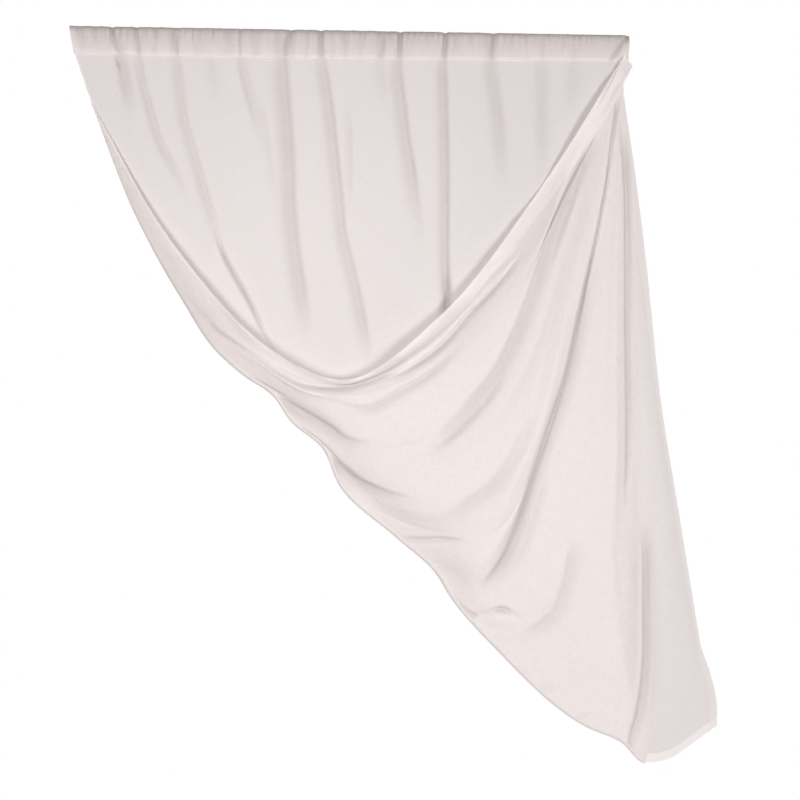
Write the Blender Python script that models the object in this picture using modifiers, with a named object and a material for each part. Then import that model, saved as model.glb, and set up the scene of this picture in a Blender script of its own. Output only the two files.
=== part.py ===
"""Sheer curtain panel on a rod pocket, its left lower corner drawn up across the front.

Metres. X runs along the rod, Z is up and the front faces minus Y. The origin is the middle of
the pocket's top edge. The cloth hangs from the pocket as a back layer, turns round a fold on the
lower left, and comes back as a front layer whose rays all run up to the caught corner.
"""

import math

import bmesh
import bpy
import numpy as np

MM = 0.001

CLOTH = 1.6 * MM
CLOTH_COLOUR = (0.86, 0.83, 0.81, 1.0)
CLOTH_ROUGHNESS = 0.9

# Rod pocket: a tube of the same cloth, stitched shut along its lower edge.
POCKET_LENGTH = 1100 * MM
POCKET_HEIGHT = 55 * MM
POCKET_ROUND = 15.5 * MM
POCKET_PUCKER = 1.2 * MM
POCKET_COLUMNS = 44
POCKET_STEPS = 12
PIECE_GAP = 0.3 * MM

# Panel: rows of the mesh down the back layer, round the fold and up the front layer.
BACK_ROWS = 11
TURN_ROWS = 4
FRONT_ROWS = 21
FOLD_RADIUS = 8 * MM
END_RADIUS = 4 * MM
GATHER_FORWARD = 21 * MM
GATHER_TOP = (541, -44)
GATHER_TIP = (557, -66)
GATHER_FOOT = (536, -100)

# How far along its ray each named place of the table below lies, from the fold to the gather.
ALONG = {"fold": 0.0, "low": 0.18, "belly": 0.36, "middle": 0.48, "rise": 0.62, "neck": 0.8}

# One row for each ray of the front layer, from the panel's side hem to its bottom hem, in mm.
# pocket is the x at which the same strip of cloth leaves the pocket, and stand is how far the
# ray's middle stands forward. The last rows have no back layer: they start on the side hem.
RAYS = [
    # pocket, steps, stand, fold, low, belly, middle, rise, neck
    (-547, 3, 32, (-509, -151), (-355, -418), (-152, -637), (-7, -689), (167, -568), (351, -341)),
    (-518, 3, 42, (-421, -374), (-297, -527), (-136, -658), (-5, -697), (174, -590), (360, -357)),
    (-475, 2, 46, (-334, -533), (-235, -619), (-119, -689), (-3, -703), (184, -609), (366, -383)),
    (-430, 2, 50, (-267, -634), (-177, -674), (-75, -720), (12, -716), (201, -633), (376, -395)),
    (-364, 2, 54, (-212, -683), (-119, -722), (-26, -740), (47, -734), (224, -654), (383, -403)),
    (-300, 3, 56, (-158, -720), (-55, -775), (41, -813), (138, -798), (263, -689), (397, -375)),
    (-236, 3, 60, (-120, -773), (-10, -835), (90, -867), (186, -848), (300, -743), (406, -424)),
    (-158, 3, 60, (-60, -824), (17, -891), (119, -928), (218, -928), (320, -821), (413, -458)),
    (-96, 3, 60, (-26, -898), (79, -954), (183, -969), (272, -938), (353, -796), (434, -459)),
    (12, 3, 56, (85, -1000), (160, -1005), (236, -1000), (304, -952), (381, -753), (451, -457)),
    (92, 2, 54, (164, -1072), (213, -1068), (266, -1026), (328, -919), (395, -740), (461, -455)),
    (134, 3, 48, (191, -1116), (252, -1114), (302, -1017), (348, -907), (410, -722), (469, -453)),
    (250, 4, 40, (285, -1224), (367, -1176), (415, -1097), (440, -983), (468, -787), (498, -468)),
    (440, 3, 32, (466, -1380), (516, -1301), (509, -1141), (511, -1003), (515, -807), (520, -468)),
    (500, 3, 22, (535, -1411), (571, -1322), (577, -1143), (562, -945), (544, -767), (538, -467)),
    (534, 2, 24, (581, -1451), (600, -1303), (597, -1113), (578, -925), (562, -738), (549, -455)),
    (None, 3, 24, (618, -1448), (633, -1291), (615, -1100), (594, -914), (576, -720), (555, -447)),
    (None, 2, 18, (713, -1392), (684, -1244), (642, -1037), (623, -900), (597, -718), (570, -435)),
    (None, 0, 16, (734, -1360), (701, -1221), (656, -1005), (635, -886), (609, -728), (578, -431)),
]
LAST_BACK_RAY = 15

# Ridges and troughs that run along the rays. ray counts the rows above from 0, width is half the
# fold's breadth in rows, height is plus towards the room, and the fold lies between start and end.
FOLDS = [
    # ray, width, height, start, end
    (1.0, 0.60, 7, 0.05, 0.95),
    (2.0, 0.50, -6, 0.0, 0.95),
    (3.0, 0.60, 7, 0.0, 0.80),
    (4.0, 0.50, -7, 0.1, 0.65),
    (5.0, 0.50, -13, 0.0, 0.95),
    (6.0, 0.60, 9, 0.0, 0.90),
    (7.0, 0.50, -11, 0.0, 0.92),
    (8.1, 0.70, 9, 0.0, 0.85),
    (9.0, 0.40, -6, 0.0, 0.30),
    (10.0, 0.60, 10, 0.1, 0.95),
    (11.0, 0.50, -16, 0.0, 0.97),
    (11.7, 0.40, 6, 0.15, 0.90),
    (12.0, 0.30, -9, 0.08, 0.45),
    (13.0, 0.55, 10, 0.0, 0.90),
    (13.8, 0.30, -7, 0.45, 0.97),
    (14.1, 0.50, -11, 0.0, 0.55),
    (16.5, 0.80, 5, 0.0, 0.70),
]

# Folds of the back layer, in mm: x is where one leaves the pocket, lean how far it moves to the
# right in each metre of drop, width half its breadth, height plus towards the room, and reach the
# drop over which it fades.
BACK_FOLDS = [
    # x, lean, width, height, reach
    (-455, 160, 20, -8, 600),
    (-412, 200, 22, -12, 700),
    (-335, 160, 22, -11, 700),
    (-270, 120, 20, -8, 600),
    (-215, 110, 24, -10, 800),
    (-128, 90, 26, -15, 1000),
    (-30, 120, 26, -11, 1000),
    (60, 100, 22, -8, 600),
    (98, 100, 22, -12, 800),
    (181, 20, 24, -16, 1100),
    (275, 60, 26, -10, 600),
    (372, 20, 26, -9, 600),
]


def clear_scene():
    for thing in list(bpy.data.objects):
        bpy.data.objects.remove(thing, do_unlink=True)


def cloth_material(name):
    material = bpy.data.materials.new(name)
    material.use_nodes = True
    shader = material.node_tree.nodes["Principled BSDF"]
    shader.inputs["Base Color"].default_value = CLOTH_COLOUR
    shader.inputs["Roughness"].default_value = CLOTH_ROUGHNESS
    shader.inputs["Metallic"].default_value = 0.0
    return material


def curve_through(knots, values, at):
    """The smooth curve through these values, read at each place in at."""
    knots = np.asarray(knots, float)
    values = np.asarray(values, float)
    step = np.diff(knots)
    rise = np.diff(values, axis=0) / step[:, None]
    slope = np.empty_like(values)
    slope[0] = rise[0]
    slope[-1] = rise[-1]
    near = step[:-1, None]
    far = step[1:, None]
    slope[1:-1] = (rise[:-1] * far + rise[1:] * near) / (near + far)
    found = []
    for place in at:
        i = int(np.clip(np.searchsorted(knots, place, side="right") - 1, 0, len(step) - 1))
        s = (place - knots[i]) / step[i]
        start = values[i] * (1 + 2 * s) * (1 - s) ** 2
        end = values[i + 1] * (3 - 2 * s) * s * s
        lean = slope[i] * s * (1 - s) ** 2 - slope[i + 1] * (1 - s) * s * s
        found.append(start + end + lean * step[i])
    return np.array(found)


def hump(distance):
    return math.exp(-distance * distance)


def fade(place, start, end):
    """One between start and end, and nothing outside them, with soft ends."""
    if place <= start and start > 0 or place >= end:
        return 0.0
    rise = 1.0 if start == 0 else min(1.0, (place - start) / 0.15)
    fall = min(1.0, (end - place) / 0.25)
    lower = min(rise, fall)
    return lower * lower * (3 - 2 * lower)


def seam_height(x):
    """Height of the stitched lower edge of the pocket, which sags a little between its ends."""
    along = x / POCKET_LENGTH + 0.5
    return -POCKET_HEIGHT - 2.5 * MM * math.sin(math.pi * along) + 3 * MM * (along - 0.5)


def back_relief(x, drop):
    total = 0.0
    for left, lean, width, height, reach in BACK_FOLDS:
        middle = left * MM + lean * MM * drop
        if drop < reach * MM:
            total += -height * MM * hump((x - middle) / (width * MM)) * (1 - drop / (reach * MM))
    return total


def front_relief(ray, along):
    total = 0.0
    for middle, width, height, start, end in FOLDS:
        total += -height * MM * hump((ray - middle) / width) * fade(along, start, end)
    return total


def ray_stations():
    """The rows' own numbers and the parts between them, as many as each row's steps."""
    found = [0.0]
    for number, row in enumerate(RAYS[:-1]):
        found += [number + (i + 1) / row[1] for i in range(row[1])]
    return found


def gather_point(share):
    top, tip, foot = (np.array(point) * MM for point in (GATHER_TOP, GATHER_TIP, GATHER_FOOT))
    return top + (tip - top) * share * 2 if share < 0.5 else tip + (foot - tip) * (share * 2 - 1)


def ray_net(stations):
    """For each station, the points in x and z that its ray passes, from the fold to the gather."""
    rows = np.array([row[3:] for row in RAYS], float) * MM
    folds = rows[:, 0]
    knots = np.concatenate([[0.0], np.cumsum(np.linalg.norm(np.diff(folds, axis=0), axis=1))])
    places = np.interp(stations, range(len(RAYS)), knots)
    net = curve_through(knots, rows.reshape(len(RAYS), -1), places).reshape(len(stations), -1, 2)
    ends = np.array([gather_point(station / (len(RAYS) - 1)) for station in stations])
    return np.concatenate([net, ends[:, None]], axis=1)


def inward(line):
    """Unit vectors in x and z that point from the fold line into the cloth."""
    along = np.gradient(line, axis=0)
    across = np.stack([-along[:, 1], along[:, 0]], axis=1)
    return across / np.linalg.norm(across, axis=1)[:, None]


def panel_points():
    """A point for each station and row: back layer, turn and front layer."""
    stations = ray_stations()
    net = ray_net(stations)
    rays = range(len(RAYS))
    tops = np.interp(stations, rays[: LAST_BACK_RAY + 1], [r[0] for r in RAYS[: LAST_BACK_RAY + 1]])
    stands = np.interp(stations, rays, [row[2] for row in RAYS])
    inner = inward(net[:, 0])
    along = np.linspace(0, 1, FRONT_ROWS + 1)
    points = []
    for i, station in enumerate(stations):
        radius = FOLD_RADIUS * min(1.0, 0.4 + station * 0.4)
        if station > LAST_BACK_RAY - 1:
            radius = max(END_RADIUS, FOLD_RADIUS - (FOLD_RADIUS - END_RADIUS) * (station - LAST_BACK_RAY + 1))
        inset = radius * max(0.0, 1.0 - max(0.0, station - LAST_BACK_RAY))
        turn = net[i, 0] + inner[i] * inset
        column = []
        top_x = min(tops[i], RAYS[LAST_BACK_RAY][0]) * MM
        top_z = seam_height(top_x) - PIECE_GAP
        for row in range(BACK_ROWS + 1):
            share = row / BACK_ROWS
            x = top_x + (turn[0] - top_x) * share
            z = top_z + (turn[1] - top_z) * share
            flat = min(1.0, (1 - share) * 4) * min(1.0, share * 6)
            column.append((x, back_relief(x, -z) * flat, z))
        for row in range(1, TURN_ROWS):
            angle = math.pi * row / TURN_ROWS
            out = net[i, 0] + inner[i] * (inset - radius * math.sin(angle))
            column.append((out[0], -radius * (1 - math.cos(angle)), out[1]))
        path = curve_through(list(ALONG.values()) + [1.0], net[i], along)
        for row, share in enumerate(along):
            back_in = (turn - net[i, 0]) * (1 - share) ** 4
            stand = 2 * radius * (1 - share) + stands[i] * MM * math.sin(math.pi * share)
            y = -stand - GATHER_FORWARD * share + front_relief(station, share) * min(1.0, 0.3 + share * 5)
            column.append((path[row, 0] + back_in[0], y, path[row, 1] + back_in[1]))
        points.append(column)
    return stations, points


def make_panel():
    stations, points = panel_points()
    rows = len(points[0])
    mesh = bmesh.new()
    bmesh.ops.create_grid(mesh, x_segments=len(stations) - 1, y_segments=rows - 1, size=0.5)
    home = {}
    for vertex in mesh.verts:
        i = round((vertex.co.x + 0.5) * (len(stations) - 1))
        j = round((vertex.co.y + 0.5) * (rows - 1))
        home[vertex] = (i, j)
    first_front = BACK_ROWS + TURN_ROWS
    spare = []
    for face in mesh.faces:
        places = [home[vertex] for vertex in face.verts]
        beyond = min(stations[i] for i, _ in places) >= LAST_BACK_RAY
        if beyond and max(j for _, j in places) <= first_front:
            spare.append(face)
    for vertex, (i, j) in home.items():
        vertex.co = points[i][j]
    bmesh.ops.delete(mesh, geom=spare, context="FACES")
    bmesh.ops.recalc_face_normals(mesh, faces=mesh.faces)
    return finish("panel", mesh)


def pocket_section(x):
    """Points round the pocket at this x: over the rod, down the front, and up behind."""
    pucker = 0.0
    for left, _, width, height, _ in BACK_FOLDS:
        pucker += math.copysign(1.0, height) * hump((x - left * MM) / (width * 0.7 * MM))
    small = 0.5 * math.sin(x * 95) + 0.5 * math.sin(x * 151 + 1.0)
    size = POCKET_ROUND - CLOTH / 2 + POCKET_PUCKER * (0.5 * pucker + 0.5 * small)
    axis = -POCKET_ROUND - POCKET_PUCKER
    foot = seam_height(x)
    meet = 1.2 * CLOTH
    drop = axis - foot
    tangent = math.asin(min(0.99, (size - meet) / math.hypot(drop, meet)))
    found = []
    for step in range(POCKET_STEPS - 3):
        angle = tangent + (math.pi + 2 * tangent) * step / (POCKET_STEPS - 4) - 2 * tangent
        found.append((size * math.cos(angle), axis + size * math.sin(angle)))
    found += [(-meet - size * 0.32, foot + drop * 0.42), (-meet, foot + CLOTH / 2)]
    found += [(meet, foot + CLOTH / 2), (meet + size * 0.32, foot + drop * 0.42)]
    return found


def make_pocket():
    """The tube's middle surface, swept along the rod and given the cloth's thickness."""
    mesh = bmesh.new()
    rings = []
    for column in range(POCKET_COLUMNS + 1):
        x = POCKET_LENGTH * (column / POCKET_COLUMNS - 0.5)
        rings.append([mesh.verts.new((x, y, z)) for y, z in pocket_section(x)])
    for ring in rings:
        for i, vertex in enumerate(ring):
            mesh.edges.new((vertex, ring[(i + 1) % len(ring)]))
    bridge_all(mesh, rings)
    bmesh.ops.recalc_face_normals(mesh, faces=mesh.faces)
    return finish("rod_pocket", mesh)


def bridge_all(mesh, rings):
    for first, second in zip(rings, rings[1:]):
        edges = [edge for edge in mesh.edges if edge.verts[0] in first and edge.verts[1] in first]
        edges += [edge for edge in mesh.edges if edge.verts[0] in second and edge.verts[1] in second]
        bmesh.ops.bridge_loops(mesh, edges=edges)


def finish(name, mesh):
    data = bpy.data.meshes.new(name)
    mesh.to_mesh(data)
    mesh.free()
    data.shade_smooth()
    part = bpy.data.objects.new(name, data)
    part.data.materials.append(cloth_material(name + "_cloth"))
    thick = part.modifiers.new("cloth", "SOLIDIFY")
    thick.thickness = CLOTH
    thick.offset = 0.0
    return part


def main():
    clear_scene()
    curtain = bpy.data.collections.new("curtain_panel")
    bpy.context.scene.collection.children.link(curtain)
    for part in (make_panel(), make_pocket()):
        curtain.objects.link(part)


main()
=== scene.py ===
"""A sheer white curtain panel on its rod pocket, one lower corner drawn up across the front."""

import math

import bmesh
import bpy
import numpy as np
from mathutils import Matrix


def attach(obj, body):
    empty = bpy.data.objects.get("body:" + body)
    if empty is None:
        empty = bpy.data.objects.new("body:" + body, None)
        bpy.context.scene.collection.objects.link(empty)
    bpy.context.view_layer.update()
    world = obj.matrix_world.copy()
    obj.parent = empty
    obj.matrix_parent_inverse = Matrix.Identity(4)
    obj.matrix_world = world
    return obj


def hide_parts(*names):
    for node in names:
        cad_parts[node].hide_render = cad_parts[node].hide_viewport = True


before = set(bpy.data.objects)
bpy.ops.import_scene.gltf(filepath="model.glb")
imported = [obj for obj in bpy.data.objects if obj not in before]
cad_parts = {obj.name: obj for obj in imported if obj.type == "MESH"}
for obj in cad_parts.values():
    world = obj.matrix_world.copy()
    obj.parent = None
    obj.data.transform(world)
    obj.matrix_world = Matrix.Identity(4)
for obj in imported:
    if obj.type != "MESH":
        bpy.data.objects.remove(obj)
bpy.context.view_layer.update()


# Rod pocket. The top of the cloth is turned back over the rod and stitched down along its lower
# edge, so it is a tube of one layer round the rod and lies flat below it. It is pushed together
# along the rod by about a fifth, which puckers it in short upright gathers, no two alike.

MM = 0.001
CLOTH = 1.0 * MM
HEM = 18 * MM
FLAT_WIDTH = 1.32
FLAT_LENGTH = 1.54

POCKET_LENGTH = 1100 * MM
POCKET_HEIGHT = 55 * MM
POCKET_ROUND = 15.5 * MM
POCKET_DROP = 1.6 * MM
POCKET_BOW = 1.5 * MM
POCKET_LIP = 1.1 * MM
POCKET_COLUMNS = 560
POCKET_STEPS = 40

# Where the seam crosses the pocket's flat cloth, counted from its edge behind.
POCKET_SEAM = 2 * POCKET_HEIGHT - 1.5 * MM

# Share of the way round the pocket that is flat on either side, and the angle by which its round
# part reaches below the middle of the rod.
FLAT_SHARE = 0.29
PAST_MIDDLE = 0.12

# The pocket's foot is drawn in over the last stretch at its left end.
DRAWN_IN = 8 * MM
DRAWN_IN_FROM = -470 * MM
DRAWN_IN_OVER = 80 * MM

# The stitched edge sags between its ends, slopes up to the right, wanders with the gathers, and is
# lifted in one place near the left end.
SEAM_SAG = 2.5 * MM
SEAM_SLOPE = 3 * MM
SEAM_WANDER = 0.7 * MM
SEAM_WANDER_OVER = (19 * MM, 53 * MM)
SEAM_LIFT = 4 * MM
SEAM_LIFT_AT = -447 * MM
SEAM_LIFT_BREADTH = 18 * MM

# The pocket's broad waves, and the gathers on them, which fade towards the stitched edge and sway
# a little to the sides on their way up.
WAVE_PITCH = 41 * MM
WAVE_HEIGHT = 1.2 * MM
SWAY = 2 * MM
SWAY_OVER = (31 * MM, 14 * MM)
GATHERS = [
    # pitch, height, sway, seed
    (19 * MM, 1.4 * MM, 1.0, 2.1),
    (11 * MM, 0.8 * MM, -1.0, 4.4),
    (6.5 * MM, 0.3 * MM, 0.6, 5.2),
]

# Folds that start in the pocket and run down the back layer. deep is minus for a trough, left and
# right are how far it spreads to either side, comes and goes are the shares of its length over
# which it rises and fades, and in_pocket is how deep it is there. Its points are x and z. In mm.
BACK_FOLDS = {
    # name: deep, left, right, comes, goes, in_pocket, points
    "far left fold": (-7, 10, 12, 0.0, 0.4, 1.2, [
        (-469, -1), (-465, -24), (-457, -51), (-448, -86), (-440, -129), (-432, -183),
    ]),
    "first left fold": (-6, 10, 5, 0.0, 0.35, 1.0, [
        (-421, 0), (-419, -27), (-411, -99), (-392, -167), (-374, -226), (-349, -270), (-326, -315),
        (-306, -354),
    ]),
    "wedge above the swag": (-13, 2, 5, 0.25, 0.55, 0, [
        (-273, -381), (-256, -440), (-227, -494), (-201, -541), (-178, -588), (-154, -633),
        (-133, -667),
    ]),
    "second left fold": (-6, 11, 6, 0.0, 0.25, 0.8, [
        (-341, -2), (-343, -36), (-337, -114), (-330, -172), (-316, -225), (-299, -285),
        (-273, -373), (-256, -436),
    ]),
    "short left fold": (-4, 9, 10, 0.0, 0.6, 0.6, [
        (-271, -5), (-277, -44), (-273, -93), (-267, -162),
    ]),
    "third left fold": (-6, 6, 11, 0.0, 0.5, 0.9, [
        (-219, 0), (-221, -34), (-219, -67), (-209, -112), (-193, -170), (-174, -249),
    ]),
    "faint fold beside the third": (-3, 10, 4, 0.2, 0.4, 0, [
        (-182, -121), (-174, -170), (-164, -219), (-156, -278), (-148, -347),
    ]),
    "broad fold": (-9, 18, 9, 0.0, 0.2, 0.9, [
        (-123, -5), (-131, -32), (-135, -66), (-131, -140), (-123, -258), (-121, -346),
        (-115, -415), (-103, -494), (-92, -568), (-80, -621),
    ]),
    "long fold": (-8, 14, 6, 0.0, 0.15, 0.9, [
        (-62, -2), (-62, -31), (-58, -64), (-46, -139), (-35, -237), (-25, -326), (-19, -399),
        (-3, -464), (13, -532), (26, -601), (34, -662),
    ]),
    "ridge beside the long fold": (-4, 8, 3, 0.2, 0.4, 0, [
        (-7, -138), (-5, -207), (-5, -286), (-9, -365),
    ]),
    "short middle fold": (-5, 12, 8, 0.0, 0.6, 1.0, [
        (68, -1), (64, -23), (56, -55), (60, -108), (68, -157),
    ]),
    "middle fold": (-8, 16, 6, 0.0, 0.4, 1.0, [
        (94, 3), (92, -38), (92, -82), (100, -147), (108, -216), (117, -265), (129, -354),
        (143, -443),
    ]),
    "straight fold": (-9, 12, 5, 0.0, 0, 1.0, [
        (183, 3), (181, -57), (183, -146), (185, -255), (185, -354), (185, -452), (187, -571),
    ]),
    "deep foot of the straight fold": (-8, 5, 7, 0.4, 0, 0, [
        (185, -456), (187, -502), (189, -532), (191, -581),
    ]),
    "first right fold": (-7, 14, 10, 0.0, 0.5, 0.9, [
        (277, 2), (275, -32), (275, -67), (287, -144), (293, -234), (299, -343),
    ]),
    "second right fold": (-5, 11, 12, 0.0, 0.4, 0.3, [
        (373, -2), (375, -54), (375, -133), (375, -223), (375, -302),
    ]),
    "last right fold": (-4, 10, 16, 0.0, 0.5, 0.4, [
        (441, -1), (439, -53), (435, -113), (427, -168),
    ]),
    "pinhole": (-12, 3, 3, 0, 0, 0, [
        (-457, -71), (-455, -74),
    ]),
    "fold drawn to the caught corner": (-5, 6, 8, 0.0, 0.6, 1.6, [
        (548, -3), (532, -27), (515, -52), (499, -82), (485, -116),
    ]),
}

# In the pocket such a fold is a soft trough, with a sharp line on its left.
SOFT_SHARE = 0.3
SHARP_SHARE = 0.4
SHARP_BREADTH = 2.2

# Depth of a fold at which the shade painted into the cloth's colour there is full.
FULL_SHADE_DEPTH = 12 * MM
POCKET_FULL_SHADE_DEPTH = 3.5 * MM


def curve_through(knots, values, at):
    """The smooth curve through these values, read at each place in at."""
    knots = np.asarray(knots, float)
    values = np.asarray(values, float)
    step = np.diff(knots)
    rise = np.diff(values, axis=0) / step[:, None]
    slope = np.empty_like(values)
    slope[0] = rise[0]
    slope[-1] = rise[-1]
    near = step[:-1, None]
    far = step[1:, None]
    slope[1:-1] = (rise[:-1] * far + rise[1:] * near) / (near + far)
    at = np.asarray(at, float)
    i = np.clip(np.searchsorted(knots, at, side="right") - 1, 0, len(step) - 1)
    s = ((at - knots[i]) / step[i])[:, None]
    start = values[i] * (1 + 2 * s) * (1 - s) ** 2
    end = values[i + 1] * (3 - 2 * s) * s * s
    lean = slope[i] * s * (1 - s) ** 2 - slope[i + 1] * (1 - s) * s * s
    return start + end + lean * step[i][:, None]


def soft_step(value):
    """From 0 to 1 as value goes from 0 to 1, with soft ends, and level outside them."""
    value = np.clip(value, 0.0, 1.0)
    return value * value * (3 - 2 * value)


def crease(x, z, deep, above, below, comes, goes, points):
    """Relief of one crease at each x and z, plus towards the room. Its two sides, to the left of
    it or above it, and to the right or below, have their own breadths."""
    points = np.array(points, float) * MM
    above = above * MM
    below = below * MM
    knots = np.concatenate([[0.0], np.cumsum(np.hypot(*np.diff(points, axis=0).T))])
    line = curve_through(knots, points, np.linspace(0, knots[-1], 4 * len(points)))
    room = 3 * max(above, below)
    low = line.min(axis=0) - room
    high = line.max(axis=0) + room
    near = (x > low[0]) & (x < high[0]) & (z > low[1]) & (z < high[1])
    px = x[near]
    pz = z[near]
    gap = np.full(px.shape, np.inf)
    side = np.zeros(px.shape)
    share = np.zeros(px.shape)
    for i in range(len(line) - 1):
        run = line[i + 1] - line[i]
        along = ((px - line[i, 0]) * run[0] + (pz - line[i, 1]) * run[1]) / (run @ run)
        along = np.clip(along, 0, 1)
        off_x = px - line[i, 0] - along * run[0]
        off_z = pz - line[i, 1] - along * run[1]
        apart = off_x**2 + off_z**2
        closer = apart < gap
        gap = np.where(closer, apart, gap)
        side = np.where(closer, run[0] * off_z - run[1] * off_x, side)
        share = np.where(closer, (i + along) / (len(line) - 1), share)
    breadth = np.where(side > 0, below, above)
    rising = soft_step(share / comes) if comes else 1.0
    fading = soft_step((1 - share) / goes) if goes else 1.0
    relief = np.zeros(x.shape)
    relief[near] = deep * MM * np.exp(-gap / breadth**2) * rising * fading
    return relief


def seam_height(x):
    """Height of the stitched lower edge of the pocket."""
    along = x / POCKET_LENGTH + 0.5
    sag = -SEAM_SAG * np.sin(math.pi * along) + SEAM_SLOPE * (along - 0.5)
    wander = SEAM_WANDER * np.sin(x / SEAM_WANDER_OVER[0]) * np.sin(x / SEAM_WANDER_OVER[1] + 1.0)
    lift = SEAM_LIFT * np.exp(-(((x - SEAM_LIFT_AT) / SEAM_LIFT_BREADTH) ** 2))
    return sag + wander + lift - POCKET_HEIGHT


def uneven(x, pitch, seed):
    """A wave of about this pitch whose height and spacing wander, for small gathers."""
    wander = 0.9 * np.sin(x / pitch * 0.61 + seed) + 0.7 * np.sin(x / pitch * 0.27 + 2 * seed)
    swell = 0.55 + 0.45 * np.sin(x / pitch * 0.19 + 3 * seed)
    return np.sin(x / pitch * 2 * math.pi + 6.0 * wander) * swell


def pocket_pucker(x, z, height):
    """How far the pocket's front stands out at each x, z and share of its height."""
    fading = soft_step(height * 1.5 - 0.1) * (1 - 0.6 * soft_step((height - 0.8) / 0.2))
    sway = SWAY * np.sin(x / SWAY_OVER[0] + z / SWAY_OVER[1])
    total = uneven(x, WAVE_PITCH, 0.7) * WAVE_HEIGHT * (1 - 0.4 * height)
    for pitch, tall, sideways, seed in GATHERS:
        total = total + uneven(x + sideways * sway, pitch, seed) * tall * fading
    for deep, left, right, _, _, in_pocket, points in BACK_FOLDS.values():
        if in_pocket:
            top = points[:3]
            soft = crease(x, z, deep, left * 0.7, right, 0, 0, top)
            sharp = crease(x, z, deep, SHARP_BREADTH, left * 0.35, 0, 0, top)
            total = total + in_pocket * (SOFT_SHARE * soft + SHARP_SHARE * sharp)
    return total


def pocket_points(along, around):
    """Middle surface of the pocket, and how much shade is painted into its colour in its folds.
    around runs from the seam behind, over the rod, to the seam in front."""
    x = POCKET_LENGTH * (along - 0.5)
    foot = seam_height(x) + CLOTH / 2
    size = POCKET_ROUND - CLOTH / 2
    axis = -POCKET_ROUND - POCKET_DROP
    meet = 1.5 * CLOTH
    side = np.where(around < 0.5, 1.0, -1.0)

    turn = np.clip((around - FLAT_SHARE) / (1 - 2 * FLAT_SHARE), 0, 1)
    angle = -PAST_MIDDLE + (math.pi + 2 * PAST_MIDDLE) * turn
    y_round = size * np.cos(angle)
    z_round = axis + size * np.sin(angle)

    down = np.clip(1 - np.minimum(around, 1 - around) / FLAT_SHARE, 0, 1)
    y_top = side * size * math.cos(PAST_MIDDLE)
    z_top = axis - size * math.sin(PAST_MIDDLE)
    bow = POCKET_BOW * np.sin(math.pi * down)
    lip = POCKET_LIP * soft_step((down - 0.86) / 0.06) * (1 - soft_step((down - 0.95) / 0.05))
    y_flat = y_top + (side * meet - y_top) * down**0.85 + side * (bow + lip)
    z_flat = z_top + (foot - z_top) * down

    flat = (around < FLAT_SHARE) | (around > 1 - FLAT_SHARE)
    y = np.where(flat, y_flat, y_round)
    z = np.where(flat, z_flat, z_round)
    height = (z - foot) / POCKET_HEIGHT
    out = pocket_pucker(x, z, height)
    # Shade is painted into the colour where the gathers sink in, by their depth.
    shade_paint = np.clip(-out / POCKET_FULL_SHADE_DEPTH, 0, 1)
    out = out * np.minimum(1.0, 0.1 + (1 - down) * 2.5)
    y = y + np.where(flat, side, np.cos(angle)) * out
    z = z + np.where(flat, 0.0, np.sin(angle)) * out * 0.3
    x = x + DRAWN_IN * (1 - height) * soft_step((DRAWN_IN_FROM - x) / DRAWN_IN_OVER)
    return x, y, z, shade_paint


def grid_sheet(across, down, points, flats, shade_paint, spare=None):
    """A sheet from a grid: each corner goes to its place in points. Its place on the flat cloth is
    kept as the sheet's own map, in metres, and the shade to paint into its colour for lying in a
    fold, from 0 to 1, is kept on each corner. spare says which faces are cut away."""
    mesh = bmesh.new()
    bmesh.ops.create_grid(mesh, x_segments=across, y_segments=down, size=0.5)
    mapped = mesh.loops.layers.uv.new("flat_cloth")
    # Shade painted into the colour for lying in a fold.
    painted_fold_shade = mesh.verts.layers.float.new("painted_fold_shade")
    home = {}
    for corner in mesh.verts:
        i = round((corner.co.x + 0.5) * across)
        j = round((corner.co.y + 0.5) * down)
        home[corner] = (i, j)
    cut = []
    for face in mesh.faces:
        if spare and spare([home[corner] for corner in face.verts]):
            cut.append(face)
        for loop in face.loops:
            loop[mapped].uv = flats[home[loop.vert]]
    for corner, (i, j) in home.items():
        corner.co = points[i, j]
        corner[painted_fold_shade] = shade_paint[i, j]
    bmesh.ops.delete(mesh, geom=cut, context="FACES")
    bmesh.ops.recalc_face_normals(mesh, faces=mesh.faces)
    return mesh


def finish_sheet(name, mesh, material, stands_for):
    """The sheet as an object of this name and material, in the place of the plain solid."""
    data = bpy.data.meshes.new(name)
    mesh.to_mesh(data)
    mesh.free()
    data.shade_smooth()
    piece = bpy.data.objects.new(name, data)
    bpy.context.scene.collection.objects.link(piece)
    data.materials.append(material)
    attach(piece, "root")
    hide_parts(stands_for)
    return piece


class Thread:
    """A number in a cloth's shader, so that a sum of threads is written as a sum."""

    def __init__(self, cloth, socket):
        self.cloth = cloth
        self.socket = socket

    def join(self, operation, first, second):
        return self.cloth.node("ShaderNodeMath", {"operation": operation}, {0: first, 1: second})

    def __add__(self, other):
        return self.join("ADD", self, other)

    __radd__ = __add__

    def __sub__(self, other):
        return self.join("SUBTRACT", self, other)

    def __rsub__(self, other):
        return self.join("SUBTRACT", other, self)

    def __mul__(self, other):
        return self.join("MULTIPLY", self, other)

    __rmul__ = __mul__

    def __abs__(self):
        return self.join("ABSOLUTE", self, 0.0)

    def __gt__(self, other):
        return self.join("GREATER_THAN", self, other)

    def __lt__(self, other):
        return self.join("LESS_THAN", self, other)

    def wave(self):
        return self.join("SINE", self, 0.0)

    def at_least(self, least):
        return self.join("MAXIMUM", self, least)

    def at_most(self, most):
        return self.join("MINIMUM", self, most)


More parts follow.
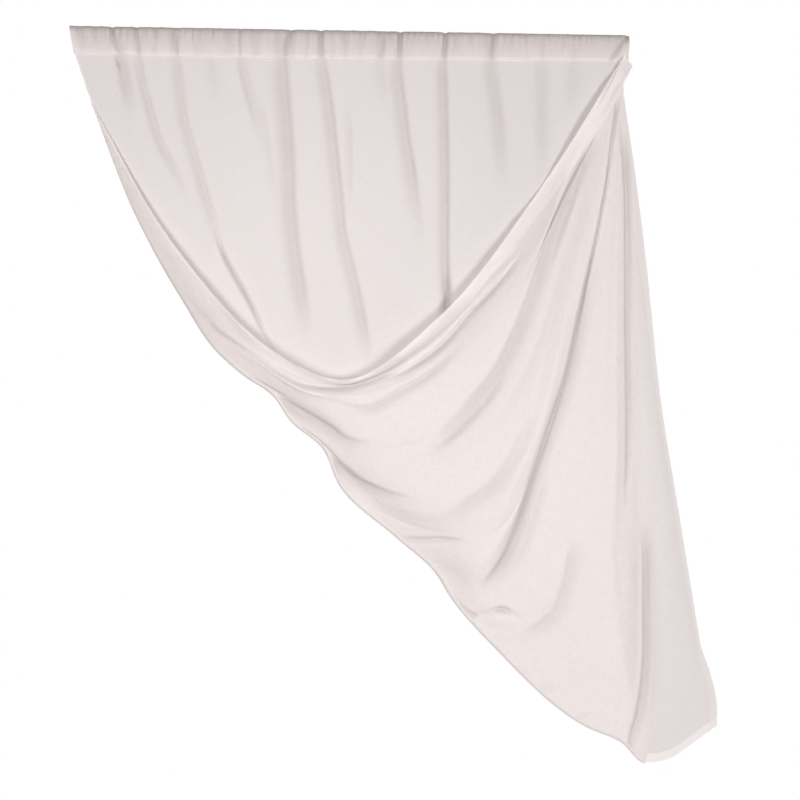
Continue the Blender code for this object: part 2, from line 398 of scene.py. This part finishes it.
class Finish:
    """A material's nodes, made one at a time from a type, its settings and its sockets."""

    def __init__(self, tree):
        self.tree = tree
        tree.nodes.clear()

    def node(self, kind, settings, sockets, output=0):
        made = self.tree.nodes.new(kind)
        for name, setting in settings.items():
            setattr(made, name, setting)
        for name, value in sockets.items():
            if isinstance(value, Thread):
                self.tree.links.new(value.socket, made.inputs[name])
            else:
                made.inputs[name].default_value = value
        return Thread(self, made.outputs[output]) if made.outputs else None

    def blend(self, share, first, second):
        """A colour between two, all of the first at a share of 0."""
        return self.node("ShaderNodeMix", {"data_type": "RGBA"}, {0: share, 6: first, 7: second}, 2)


# The cloth is a plain weave of uneven linen-look yarn, so thicker slubs run both ways. It is
# white, matt, and open enough to see through a little. Hems are two layers, so they show whiter.
# Shade is painted darker into the colour in folds and over the ridge of the pocket.
WHITE = (1.0, 0.955, 0.944, 1.0)
SHADED = (0.72, 0.674, 0.662, 1.0)
PAINTED_SHADE = (0.5, 0.45, 0.43, 1.0)
THROUGH = (0.94, 0.915, 0.905, 1.0)
LET_THROUGH = 0.42
STITCH_PITCH = 4 * MM
STITCH_REACH = 0.7 * MM
SEAM_REACH = 3.5 * MM
RIDGE_SHADE_REACH = 50 * MM


def voile(name, cover, tone, foot_hem, seam_at):
    """cover is how much of the light the weave stops, and tone how white it is. foot_hem says
    whether the piece has the hem across its foot, and seam_at where a seam crosses it, if any."""
    material = bpy.data.materials.new(name)
    material.use_nodes = True
    cloth = Finish(material.node_tree)
    flat = cloth.node("ShaderNodeUVMap", {"uv_map": "flat_cloth"}, {})
    across = cloth.node("ShaderNodeSeparateXYZ", {}, {0: flat}, 0)
    down = cloth.node("ShaderNodeSeparateXYZ", {}, {0: flat}, 1)

    def yarn(pitch_across, pitch_down, detail):
        pitch = (1 / pitch_across, 1 / pitch_down, 1)
        place = cloth.node("ShaderNodeVectorMath", {"operation": "MULTIPLY"}, {0: flat, 1: pitch})
        fields = {"Vector": place, "Scale": 1.0, "Detail": detail, "Roughness": 0.6}
        return cloth.node("ShaderNodeTexNoise", {"noise_dimensions": "2D"}, fields)

    def stitches(value, at, way):
        dashes = (way * (2 * math.pi / STITCH_PITCH)).wave() > -0.2
        return (abs(value - at) < STITCH_REACH) * dashes

    warp = yarn(2.4 * MM, 18 * MM, 2.0)
    weft = yarn(22 * MM, 2.6 * MM, 2.0)
    cloud = yarn(50 * MM, 40 * MM, 3.0)
    crumple = yarn(35 * MM, 30 * MM, 2.0)
    thick = warp * 0.5 + weft * 0.5

    # Hems, stitches, and for the pocket its seam and the shade painted over its ridge.
    right_hem = across > FLAT_WIDTH - HEM
    hem = (across < HEM) + right_hem
    stitch = stitches(across, HEM, down) + stitches(across, FLAT_WIDTH - HEM, down)
    whiter = 0.0
    ridge_shade = 0.0
    if foot_hem:
        foot = down > FLAT_LENGTH - HEM
        hem = hem + foot
        stitch = stitch + stitches(down, FLAT_LENGTH - HEM, across)
        whiter = right_hem * 0.25 - foot * 0.1
    if seam_at:
        hem = hem + (abs(down - seam_at) < SEAM_REACH) * (cloud + 0.3)
        # Shade painted over the ridge of the pocket, darkest along it and streaked.
        from_ridge = abs(down - seam_at / 2)
        ridge_shade = (1.0 - from_ridge * (1 / RIDGE_SHADE_REACH)).at_least(0.0)
        ridge_shade = ridge_shade * (yarn(7 * MM, 60 * MM, 2.0) * 1.3 + cloud * 0.5 - 0.1)
    hem = hem.at_most(1.0)

    # Colour: whiter where the yarn is thick or the cloth is double, with painted shade in folds and
    # over the pocket's ridge.
    shade = thick * 0.16 + cloud * 0.06 + hem * 0.22 + whiter - stitch * 0.25 + (tone - 0.11)
    colour = cloth.blend(shade.at_least(0.0), SHADED, WHITE)
    fold = cloth.node("ShaderNodeAttribute", {"attribute_name": "painted_fold_shade"}, {}, 2)
    colour = cloth.blend(fold * (cloud * 0.3 + 0.42) + ridge_shade, colour, PAINTED_SHADE)

    # Relief of the yarn, the hems and the crumples, and how much the weave lets straight through.
    height = thick + hem * 1.2 - stitch * 1.5 + crumple * 3.0
    relief = {"Strength": 0.35, "Distance": 0.6 * MM, "Height": height}
    bump = cloth.node("ShaderNodeBump", {}, relief)
    closed = (thick * 0.16 + hem * 0.1 + (cover - 0.08)).at_most(1.0)

    front = {"Base Color": colour, "Roughness": 0.9, "Specular IOR Level": 0.15, "Normal": bump}
    lit = cloth.node("ShaderNodeBsdfPrincipled", {}, front)
    passed = cloth.node("ShaderNodeBsdfTranslucent", {}, {"Color": THROUGH, "Normal": bump})
    body = cloth.node("ShaderNodeMixShader", {}, {0: LET_THROUGH, 1: lit, 2: passed})
    clear = cloth.node("ShaderNodeBsdfTransparent", {}, {})
    whole = cloth.node("ShaderNodeMixShader", {}, {0: closed, 1: clear, 2: body})
    cloth.node("ShaderNodeOutputMaterial", {}, {"Surface": whole})
    return material


pocket_along, pocket_around = np.meshgrid(
    np.linspace(0, 1, POCKET_COLUMNS + 1), np.linspace(0, 1, POCKET_STEPS + 1), indexing="ij"
)
*pocket_places, pocket_shade_paint = pocket_points(pocket_along, pocket_around)
pocket_places = np.stack(pocket_places, axis=-1)
pocket_flats = np.stack([pocket_along * FLAT_WIDTH, pocket_around * 2 * POCKET_HEIGHT], axis=-1)
pocket_mesh = grid_sheet(POCKET_COLUMNS, POCKET_STEPS, pocket_places, pocket_flats, pocket_shade_paint)
# The pocket's lower tone is painted shade, for the rod inside it that keeps light from behind from
# coming through.
pocket_voile = voile("pocket_voile", cover=0.99, tone=0.30, foot_hem=False, seam_at=POCKET_SEAM)
pocket = finish_sheet("rod_pocket_cloth", pocket_mesh, pocket_voile, "rod_pocket")


# Panel. One rectangle of the cloth below the pocket. It hangs as a back layer, turns round a fold
# on the lower left and comes back as a front layer, whose pleats all run up to the corner that is
# caught at the top right. Its left side hem is the upper edge of the swag.

FOLD_RADIUS = 8 * MM
END_RADIUS = 4 * MM
TUCK = 3 * MM
CALM_BELOW_SEAM = 18 * MM
GATHER_FORWARD = 21 * MM
HEM_SWELL = 10 * MM
HEM_FLUTTER = 2.5 * MM
COLUMN_ROOM = 18 * MM
COLUMNS = 440
BACK_ROWS = 62
TURN_ROWS = 8
FRONT_ROWS = 142

# The caught strip ends on this short line, which is given in mm, with the shares of its length.
# The rays near the side hem take up most of it: each ray in GATHER_RAYS ends at that share.
GATHER = [(541, -44), (557, -66), (536, -100)]
GATHER_SHARES = [0.0, 0.45, 1.0]
GATHER_RAYS = {0: 0.0, 4.5: 0.8, 18: 1.0}

# Shares of the way from the fold to the gather, at which the rays below have their points.
ALONG = {"fold": 0.0, "low": 0.18, "belly": 0.36, "middle": 0.48, "rise": 0.62, "neck": 0.8}

# One row for each ray of the front layer, from the panel's side hem to its bottom hem, in mm.
# pocket is the x at which the same strip of cloth leaves the pocket, and stand is how far the
# ray's middle stands forward. The last rows have no back layer: they start on the side hem.
RAYS = [
    # pocket, stand, fold, low, belly, middle, rise, neck
    (-541, 44, (-509, -151), (-355, -418), (-152, -637), (-7, -689), (167, -568), (351, -341)),
    (-518, 44, (-421, -374), (-297, -527), (-136, -658), (-5, -697), (174, -590), (360, -357)),
    (-475, 46, (-334, -533), (-235, -619), (-119, -689), (-3, -703), (184, -609), (366, -383)),
    (-430, 50, (-267, -634), (-177, -674), (-75, -720), (12, -716), (201, -633), (376, -395)),
    (-364, 54, (-212, -683), (-119, -722), (-26, -740), (47, -734), (224, -654), (383, -403)),
    (-300, 56, (-158, -720), (-55, -775), (41, -813), (138, -798), (263, -689), (397, -375)),
    (-236, 60, (-120, -773), (-10, -835), (90, -867), (186, -848), (300, -743), (406, -424)),
    (-158, 60, (-60, -824), (17, -891), (119, -928), (218, -928), (320, -821), (413, -458)),
    (-96, 60, (-26, -898), (79, -954), (183, -969), (272, -938), (353, -796), (434, -459)),
    (12, 56, (85, -1000), (160, -1005), (236, -1000), (304, -952), (381, -753), (451, -457)),
    (92, 54, (164, -1072), (213, -1068), (266, -1026), (328, -919), (395, -740), (461, -455)),
    (134, 48, (191, -1116), (252, -1114), (302, -1017), (348, -907), (410, -722), (469, -453)),
    (250, 40, (285, -1224), (367, -1176), (415, -1097), (440, -983), (468, -787), (498, -468)),
    (440, 32, (466, -1380), (516, -1301), (509, -1141), (511, -1003), (515, -807), (520, -468)),
    (500, 22, (535, -1411), (571, -1322), (577, -1143), (562, -945), (544, -767), (538, -467)),
    (534, 24, (583, -1454), (600, -1303), (597, -1113), (578, -925), (562, -738), (549, -455)),
    (None, 24, (628, -1445), (633, -1291), (615, -1100), (594, -914), (576, -720), (555, -447)),
    (None, 18, (688, -1407), (678, -1244), (642, -1037), (623, -900), (597, -718), (570, -435)),
    (None, 16, (729, -1379), (694, -1221), (656, -1005), (635, -886), (609, -728), (578, -431)),
]
LAST_BACK_RAY = 15

# Broad ridges and troughs that run along the rays. ray counts the rows above from 0, before and
# after are its breadth to either side in rows, height is plus towards the room in mm, and the fold
# lies between start and end along the ray.
BROAD = [
    # ray, before, after, height, start, end
    (3.0, 0.8, 0.8, 4, 0.1, 0.85),
    (5.0, 0.5, 0.7, -3, 0.05, 0.95),
    (6.1, 0.6, 0.6, 3, 0.1, 0.90),
    (7.0, 0.5, 0.6, -3, 0.05, 0.60),
    (8.2, 0.8, 1.0, 3, 0.4, 0.85),
    (8.2, 1.0, 0.5, -10, 0.0, 0.45),
    (10.2, 0.7, 0.5, 5, 0.1, 0.97),
    (11.3, 0.6, 0.7, -5, 0.1, 0.98),
    (13.0, 0.8, 0.5, 5, 0.1, 0.90),
    (14.0, 0.4, 0.6, -4, 0.05, 0.60),
    (16.5, 0.8, 0.8, 4, 0.0, 0.70),
]

# How far the side hem stands off the back layer on its way up to the gather, as a share of the
# distance it would have. Just below the gather it dips onto the back.
HEM_STAND = [
    # along, share
    (0.00, 1.00), (0.40, 0.90), (0.52, 0.64), (0.57, 0.70), (0.62, 0.58), (0.66, 0.54),
    (0.72, 0.62), (0.79, 0.42), (0.827, 0.20), (0.87, 0.65), (0.93, 1.25), (1.00, 1.00),
]

# Beside the fold on the left the layers lie close together above CLOSE_FROM, and closest above
# CLOSE_FULLY; shade is painted into their colour there, as less daylight comes through them.
CLOSE_FROM = -700 * MM
CLOSE_FULLY = -560 * MM
CLOSE_SHADE = 0.65

# Creases of the front layer, each from its right-hand end. deep is minus for a trough and plus
# for a ridge, above and below are its breadth on its two sides, comes and goes are the shares of
# its length over which it rises and fades, and its points are x and z. All in mm.
CREASES = {
    # name: deep, above, below, comes, goes, points
    "upper pleat": (-10, 7, 18, 0.14, 0.22, [
        (501, -172), (477, -215), (452, -257), (431, -299), (407, -356), (375, -436), (351, -507),
        (312, -603), (279, -667), (237, -722), (196, -770), (147, -813), (105, -834),
    ]),
    "line beside the upper pleat": (-4, 4, 6, 0.4, 0.3, [
        (465, -249), (442, -305), (419, -366), (397, -426), (376, -487),
    ]),
    "low end of the upper pleat": (-6, 4, 8, 0.2, 0.3, [
        (290, -679), (264, -720), (241, -747), (210, -778), (175, -809), (136, -830),
    ]),
    "second pleat": (-4, 8, 14, 0.2, 0.3, [
        (494, -235), (471, -299), (448, -379), (425, -445), (398, -534), (369, -613), (332, -687),
        (294, -749), (255, -807),
    ]),
    "low end of the second pleat": (-7, 8, 18, 0.25, 0.25, [
        (376, -710), (347, -764), (322, -813), (295, -859), (260, -900), (217, -931), (182, -956),
        (145, -978),
    ]),
    "deep pleat at the gather": (-7, 2, 4, 0.02, 0.25, [
        (527, -129), (520, -170), (511, -226), (501, -294), (488, -364), (475, -426), (458, -495),
        (441, -572), (424, -651),
    ]),
    "deep pleat": (-15, 6, 18, 0.35, 0.12, [
        (488, -364), (466, -458), (441, -569), (413, -687), (389, -759), (363, -837), (339, -909),
        (317, -984), (292, -1044), (266, -1082), (241, -1118),
    ]),
    "line beside the deep pleat": (-5, 4, 8, 0.2, 0.3, [
        (380, -866), (365, -921), (347, -980), (323, -1043), (292, -1086),
    ]),
    "crest over the deep pleat": (6, 16, 12, 0.3, 0.2, [
        (440, -475), (409, -593), (380, -700), (340, -807), (309, -884), (278, -961), (253, -1025),
    ]),
    "straight pleat": (-8, 4, 8, 0.1, 0.15, [
        (531, -175), (540, -283), (541, -433), (540, -591), (541, -729), (540, -848), (534, -956),
    ]),
    "line beside the straight pleat": (-2, 8, 10, 0.3, 0.3, [
        (553, -532), (555, -631), (556, -769), (563, -927), (570, -1026),
    ]),
    "crest beside the tail": (3, 18, 10, 0.3, 0.1, [
        (520, -690), (516, -808), (510, -925), (504, -1023), (513, -1102), (525, -1182),
        (538, -1262), (550, -1323), (547, -1364), (540, -1404),
    ]),
    "tail pleat": (-10, 5, 12, 0.2, 0, [
        (573, -957), (578, -1047), (578, -1147), (579, -1237), (574, -1307), (566, -1355),
        (556, -1389), (548, -1422),
    ]),
    "hollow beside the tail pleat": (-4, 18, 6, 0.3, 0.4, [
        (569, -938), (565, -1047), (563, -1165), (561, -1284), (549, -1363),
    ]),
    "line beside the tail pleat": (-2, 5, 10, 0.3, 0.3, [
        (592, -1046), (597, -1146), (600, -1246), (597, -1326), (587, -1386),
    ]),
    "low hook": (-7, 8, 16, 0.25, 0.3, [
        (429, -988), (427, -1039), (416, -1095), (401, -1135), (380, -1165), (349, -1187),
        (320, -1215),
    ]),
    "crest over the low hook": (3, 16, 12, 0.3, 0.3, [
        (408, -1013), (395, -1078), (374, -1122), (346, -1148),
    ]),
    "hollow under the roll": (-8, 5, 10, 0.3, 0.3, [
        (212, -605), (179, -646), (138, -683), (91, -710), (53, -733), (24, -745), (-15, -741),
        (-57, -729),
    ]),
    "line on the roll": (-8, 4, 7, 0.3, 0.2, [
        (346, -424), (306, -473), (275, -509), (247, -538), (221, -564), (191, -601), (160, -632),
        (129, -654), (93, -677), (60, -691),
    ]),
    "crest of the roll": (6, 12, 8, 0.3, 0.2, [
        (262, -515), (230, -545), (196, -578), (159, -613), (120, -641), (81, -668), (43, -689),
    ]),
    "left end of the roll": (4, 10, 12, 0.2, 0.3, [
        (35, -708), (-17, -722), (-65, -722), (-107, -712), (-146, -695), (-189, -669),
    ]),
    "line beside the side hem": (-5, 5, 6, 0.2, 0.15, [
        (20, -699), (-19, -704), (-65, -704), (-103, -697), (-134, -681), (-177, -654),
        (-227, -621), (-266, -595), (-292, -574),
    ]),
    "second line beside the side hem": (-2, 4, 5, 0.3, 0.3, [
        (-36, -700), (-92, -691), (-134, -671), (-177, -646),
    ]),
    "soft line on the left band": (-3, 6, 8, 0.3, 0.3, [
        (-177, -633), (-208, -601), (-239, -562), (-266, -533),
    ]),
    "soft line on the right band": (-2, 5, 8, 0.3, 0.3, [
        (334, -420), (307, -450), (279, -477), (247, -501),
    ]),
    "first kink": (-14, 4, 20, 0.5, 0, [
        (61, -813), (17, -811), (-14, -804), (-39, -786), (-68, -767), (-103, -747), (-131, -733),
        (-162, -722),
    ]),
    "ridge below the first kink": (3, 8, 14, 0.3, 0.3, [
        (179, -788), (136, -811), (89, -822), (39, -824), (-6, -819), (-45, -809),
    ]),
    "second kink": (-13, 4, 18, 0.6, 0, [
        (136, -935), (106, -920), (72, -911), (41, -899), (14, -886), (-13, -865), (-39, -845),
        (-66, -823),
    ]),
    "ridge below the second kink": (1, 8, 18, 0.3, 0.3, [
        (225, -915), (196, -939), (151, -948), (104, -945), (64, -932), (22, -917),
    ]),
    "third kink": (-7, 4, 8, 0.4, 0, [
        (226, -1004), (170, -1001), (128, -1003), (89, -1003),
    ]),
    "side of the third kink": (-2, 6, 6, 0.5, 0, [
        (97, -1009), (75, -989), (53, -965),
    ]),
    "fourth kink": (-12, 4, 11, 0.15, 0, [
        (247, -1157), (229, -1148), (209, -1131), (188, -1108),
    ]),
    "line from the fourth kink": (-3, 5, 7, 0.3, 0.2, [
        (344, -1156), (315, -1151), (290, -1143), (264, -1147), (231, -1157),
    ]),
    "hollow at the fourth kink": (-12, 3, 6, 0.4, 0.4, [
        (317, -1149), (294, -1139), (270, -1145),
    ]),
    "ridge below the fourth kink": (2, 6, 12, 0.3, 0.3, [
        (337, -1170), (293, -1164), (255, -1167),
    ]),
    "dimple above the fourth kink": (-1, 10, 14, 0.4, 0.1, [
        (210, -1078), (183, -1062), (152, -1044),
    ]),
    "swell above the fourth kink": (2, 16, 16, 0.4, 0.4, [
        (237, -1106), (228, -1071), (201, -1042),
    ]),
    "first nick near the foot": (-3, 6, 10, 0.5, 0, [
        (402, -1299), (378, -1299), (362, -1303),
    ]),
    "second nick near the foot": (-3, 6, 10, 0.5, 0, [
        (474, -1353), (454, -1356), (438, -1363),
    ]),
    "first tuck in the caught strip": (-5, 2, 3, 0.1, 0.5, [
        (529, -58), (513, -92), (497, -124), (479, -156),
    ]),
    "second tuck in the caught strip": (-4, 2, 3, 0.2, 0.5, [
        (539, -83), (523, -113), (505, -147), (485, -183),
    ]),
    "pinhole": (-3, 2, 2, 0, 0, [
        (-169, -635), (-165, -638),
    ]),
}

# The net of rays. Columns of the sheet are spread over the rays, closer where the rays are, and
# each has its points in x and z from the fold to the gather.
count = len(RAYS)
ray_rows = np.array([row[2:] for row in RAYS], float) * MM
fold_gaps = np.linalg.norm(np.diff(ray_rows[:, 0], axis=0), axis=1)
fold_knots = np.concatenate([[0.0], np.cumsum(fold_gaps)])
spread = np.concatenate([[0.0], np.cumsum(fold_gaps + COLUMN_ROOM)])
stations = np.interp(np.linspace(0, spread[-1], COLUMNS + 1), spread, range(count))
last_back = int(np.argmin(abs(stations - LAST_BACK_RAY)))
stations[last_back] = LAST_BACK_RAY
fold_places = np.interp(stations, range(count), fold_knots)
net = curve_through(fold_knots, ray_rows.reshape(count, -1), fold_places)
net = net.reshape(COLUMNS + 1, -1, 2)
meet_at = np.interp(stations, list(GATHER_RAYS), list(GATHER_RAYS.values()))
gather = np.array(GATHER, float) * MM
meets = np.stack([np.interp(meet_at, GATHER_SHARES, gather[:, k]) for k in (0, 1)], axis=1)
net = np.concatenate([net, meets[:, None]], axis=1)

# The fold on the left. It is round, tighter at both of its ends, and beyond the last ray of the
# back layer it dies away, since the cloth starts there on its side hem.
back_rays = [row[0] for row in RAYS[: LAST_BACK_RAY + 1]]
tops = np.interp(stations, range(len(back_rays)), back_rays) * MM
stands = np.interp(stations, range(count), [row[1] for row in RAYS]) * MM
fold_line = net[:, 0]
lie = np.gradient(fold_line, axis=0)
inner = np.stack([-lie[:, 1], lie[:, 0]], axis=1)
inner = inner / np.linalg.norm(inner, axis=1)[:, None]
radius = FOLD_RADIUS * np.minimum(1.0, 0.1 + stations * 0.5)
near_end = np.clip(stations - LAST_BACK_RAY + 1, 0, 1)
radius = np.minimum(radius, FOLD_RADIUS + (END_RADIUS - FOLD_RADIUS) * near_end)
inset = radius * np.clip(1.0 - np.maximum(0.0, stations - LAST_BACK_RAY), 0, 1)
turn_in = fold_line + inner * inset[:, None]

first_front = BACK_ROWS + TURN_ROWS
total_rows = first_front + FRONT_ROWS
places = np.zeros((COLUMNS + 1, total_rows + 1, 3))
shade_paint = np.zeros((COLUMNS + 1, total_rows + 1))

# The back layer hangs from the pocket's seam to the fold.
share = np.linspace(0, 1, BACK_ROWS + 1)[None, :]
top_z = (seam_height(tops) + TUCK)[:, None]
x_back = tops[:, None] + (turn_in[:, 0:1] - tops[:, None]) * share
z_back = top_z + (turn_in[:, 1:2] - top_z) * share
back_relief = np.zeros(x_back.shape)
for deep, left, right, comes, goes, _, points in BACK_FOLDS.values():
    back_relief = back_relief + crease(x_back, z_back, deep, left, right, comes, goes, points)
below_seam = np.clip((top_z - z_back) / CALM_BELOW_SEAM, 0, 1)
calm = np.minimum(1.0, (1 - share) * 6) * soft_step(below_seam)
places[:, : BACK_ROWS + 1, 0] = x_back
places[:, : BACK_ROWS + 1, 1] = -back_relief * calm
places[:, : BACK_ROWS + 1, 2] = z_back
# Shade is painted into the colour in the back layer's folds, by their depth.
shade_paint[:, : BACK_ROWS + 1] = np.clip(-back_relief / FULL_SHADE_DEPTH, 0, 1)

# Then the cloth turns round the fold.
for row in range(1, TURN_ROWS):
    angle = math.pi * row / TURN_ROWS
    out = fold_line + inner * (inset - radius * math.sin(angle))[:, None]
    places[:, BACK_ROWS + row, 0] = out[:, 0]
    places[:, BACK_ROWS + row, 1] = -radius * (1 - math.cos(angle))
    places[:, BACK_ROWS + row, 2] = out[:, 1]


def between(place, start, end):
    """One between start and end, and nothing outside them, with soft ends."""
    rise = 1.0 if start == 0 else soft_step((place - start) / 0.15)
    return rise * soft_step((end - place) / 0.2)


# The front layer's paths in x and z. The bottom hem swells out a little above the lowest corner.
along = np.linspace(0, 1, FRONT_ROWS + 1)
levels = list(ALONG.values()) + [1.0]
paths = curve_through(levels, net.transpose(1, 0, 2).reshape(len(levels), -1), along)
paths = paths.reshape(len(along), COLUMNS + 1, 2).transpose(1, 0, 2)
paths = paths + (turn_in - fold_line)[:, None, :] * ((1 - along) ** 4)[None, :, None]
by_hem = np.exp(-(((count - 1 - stations) / 0.9) ** 2))[:, None]
paths[:, :, 0] += HEM_SWELL * by_hem * np.sin(math.pi * np.clip(along / ALONG["low"], 0, 1))

# How far it stands off the back layer: the swag bellies out, and the side hem has its own course.
tight = 1.8 + 1.4 * np.exp(-stations / 2)[:, None]
swell = np.sin(math.pi * along**1.25)
belly = swell ** np.where(along < 0.57, 0.95, tight)
forward = GATHER_FORWARD * along**1.6 * (1 - 0.5 * soft_step((along - 0.88) / 0.12))
stand = 2 * radius[:, None] * (1 - along) + stands[:, None] * belly + forward
hem_knots, hem_shares = np.array(HEM_STAND).T
hem_share = curve_through(hem_knots, hem_shares[:, None], along)[:, 0]
stand = stand * (1 + (hem_share - 1) * np.exp(-((stations / 2.5) ** 2))[:, None])
flutter = uneven(along, 0.05, 2.3) * soft_step((along - 0.3) / 0.2) * soft_step((1 - along) / 0.2)
stand = stand + HEM_FLUTTER * flutter * np.exp(-((stations / 0.45) ** 2))[:, None]

# Its broad ridges and troughs, which flatten towards the gather.
broad = np.zeros(stand.shape)
for middle, before, after, height, start, end in BROAD:
    side = np.where(stations < middle, before, after)
    shape = np.exp(-(((stations - middle) / side) ** 2))[:, None]
    broad = broad + height * MM * shape * between(along, start, end)
broad = broad * (1 - 0.6 * soft_step((along - 0.5) / 0.35)) * np.minimum(1.0, 0.3 + along * 5)

# Its creases, and the small pleats that form where the cloth is drawn together.
fine = np.zeros(stand.shape)
for deep, above, below, comes, goes, points in CREASES.values():
    fine = fine + crease(paths[:, :, 0], paths[:, :, 1], deep, above, below, comes, goes, points)
# Shade is painted into the colour in the creases, by their depth, and beside the fold on the left
# where the layers lie close.
close = soft_step((paths[:, :, 1] - CLOSE_FROM) / (CLOSE_FULLY - CLOSE_FROM))
close = CLOSE_SHADE * close * (1 - soft_step((along - 0.25) / 0.2))
shade_paint[:, first_front:] = np.clip(close - fine / FULL_SHADE_DEPTH, 0, 1)
shade_paint[:, BACK_ROWS + 1 : first_front] = close[:, :1]
fine = fine * np.minimum(1.0, 0.3 + along * 12)
pleats = uneven(stations, 1.6, 1.3) * 0.8 + uneven(stations, 0.9, 0.4) * 0.3
pleats = pleats * soft_step(stations - 1.0) * soft_step((count - 1 - stations) / 2)
pleats = pleats[:, None] * MM * soft_step((along - 0.4) / 0.4) * soft_step((1 - along) / 0.06)
places[:, first_front:, 0] = paths[:, :, 0]
places[:, first_front:, 1] = pleats - stand - broad - fine
places[:, first_front:, 2] = paths[:, :, 1]

# Where each corner of the grid lies on the flat cloth, so that the weave runs true. The caught
# corner is the flat cloth's lower left one, and all the front layer's rays run to it.
flat_top = np.clip(tops / POCKET_LENGTH + 0.5, 0, 1) * FLAT_WIDTH
flat_top[0] = 0.0
flat_fold = np.clip(-fold_line[:, 1] - POCKET_HEIGHT, 0.05, None)
past = np.clip((stations - LAST_BACK_RAY) / (count - 1 - LAST_BACK_RAY), 0, 1)
fold_last = flat_fold[last_back]
flat_fold = np.where(past > 0, fold_last + (FLAT_LENGTH - fold_last) * past, flat_fold)
flat_top = np.where(past > 0, FLAT_WIDTH, flat_top)
flats = np.zeros((COLUMNS + 1, total_rows + 1, 2))
flats[:, : BACK_ROWS + 1, 0] = flat_top[:, None]
flats[:, : BACK_ROWS + 1, 1] = flat_fold[:, None] * share
flats[:, BACK_ROWS + 1 : first_front] = np.stack([flat_top, flat_fold], axis=1)[:, None]
steps = np.linalg.norm(np.diff(paths, axis=1), axis=2)
reach = np.concatenate([np.zeros((COLUMNS + 1, 1)), np.cumsum(steps, axis=1)], axis=1)
reach = reach / reach[:, -1:]
flats[:, first_front:, 0] = flat_top[:, None] * (1 - reach)
flats[:, first_front:, 1] = flat_fold[:, None] + (FLAT_LENGTH - flat_fold[:, None]) * reach


def beyond_back(corners):
    """Whether a face would lie in the back layer or the fold past the last ray that has them."""
    return min(i for i, _ in corners) >= last_back and max(j for _, j in corners) <= first_front


panel_mesh = grid_sheet(COLUMNS, total_rows, places, flats, shade_paint, beyond_back)
panel_voile = voile("panel_voile", cover=0.975, tone=0.5, foot_hem=True, seam_at=None)
panel = finish_sheet("panel_cloth", panel_mesh, panel_voile, "panel")


# Floor, light and camera. The curtain hangs clear of a pale floor. One soft lamp lights it from
# the right and a larger one from the left, at about its own height, and a weak lamp behind stands
# for daylight. The surround is white to the eye and dim to the cloth.

FLOOR_DROP = 1.78
FLOOR_RADIUS = 0.85
FLOOR_PALE = (0.8, 0.8, 0.8, 1.0)

floor_mesh = bmesh.new()
bmesh.ops.create_circle(floor_mesh, cap_ends=True, segments=96, radius=FLOOR_RADIUS)
bmesh.ops.translate(floor_mesh, verts=floor_mesh.verts, vec=(0.08, 0.0, -FLOOR_DROP))
floor_data = bpy.data.meshes.new("floor")
floor_mesh.to_mesh(floor_data)
floor_mesh.free()
floor = bpy.data.objects.new("floor", floor_data)
floor_finish = bpy.data.materials.new("floor_pale")
floor_finish.use_nodes = True
floor_shader = floor_finish.node_tree.nodes["Principled BSDF"]
floor_shader.inputs["Base Color"].default_value = FLOOR_PALE
floor_shader.inputs["Roughness"].default_value = 0.8
floor_data.materials.append(floor_finish)
bpy.context.scene.collection.objects.link(floor)

LAMPS = [
    # name, place, aim, size, power, colour
    ("key_lamp", (2.05, -3.2, -1.0), (0.1, 0.0, -0.7), 1.4, 99.0, (1.0, 0.99, 0.98)),
    ("fill_lamp", (-1.7, -3.2, -0.8), (0.1, 0.0, -0.7), 1.6, 106.0, (1.0, 0.975, 0.965)),
    ("back_lamp", (-0.07, 0.5, -0.42), (-0.07, 0.0, -0.42), 0.4, 0.65, (1.0, 0.93, 0.92)),
]
for name, place, aim, size, power, colour in LAMPS:
    lamp_data = bpy.data.lights.new(name, "AREA")
    lamp_data.shape = "DISK"
    lamp_data.size = size
    lamp_data.energy = power
    lamp_data.color = colour
    lamp = bpy.data.objects.new(name, lamp_data)
    lamp.location = place
    look = np.array(aim, float) - np.array(place, float)
    tilt = math.atan2(math.hypot(look[0], look[1]), -look[2])
    lamp.rotation_euler = (tilt, 0.0, math.atan2(-look[0], look[1]))
    lamp.visible_camera = False
    bpy.context.scene.collection.objects.link(lamp)

SURROUND_SEEN = (1.0, 1.0, 1.0, 1.0)
SURROUND_CAST = (1.0, 0.92, 0.92, 1.0)
CAST_STRENGTH = 0.13

world = bpy.data.worlds.new("surround")
bpy.context.scene.world = world
world.use_nodes = True
surround = Finish(world.node_tree)
seen = surround.node("ShaderNodeLightPath", {}, {})
strength = seen * (1 - CAST_STRENGTH) + CAST_STRENGTH
hue = surround.blend(seen, SURROUND_CAST, SURROUND_SEEN)
sky = surround.node("ShaderNodeBackground", {}, {"Color": hue, "Strength": strength})
surround.node("ShaderNodeOutputWorld", {}, {"Surface": sky})
bpy.context.scene.view_settings.view_transform = "Standard"

# The camera stands a little to the left of the middle, and is turned a little to the right.
camera_data = bpy.data.cameras.new("camera")
camera_data.lens = 68.535
camera_data.sensor_width = 36.0
camera = bpy.data.objects.new("camera", camera_data)
camera.location = (-0.116, -3.0, -0.7295)
camera.rotation_euler = (math.radians(90), 0.0, math.radians(-4))
bpy.context.scene.collection.objects.link(camera)
bpy.context.scene.camera = camera
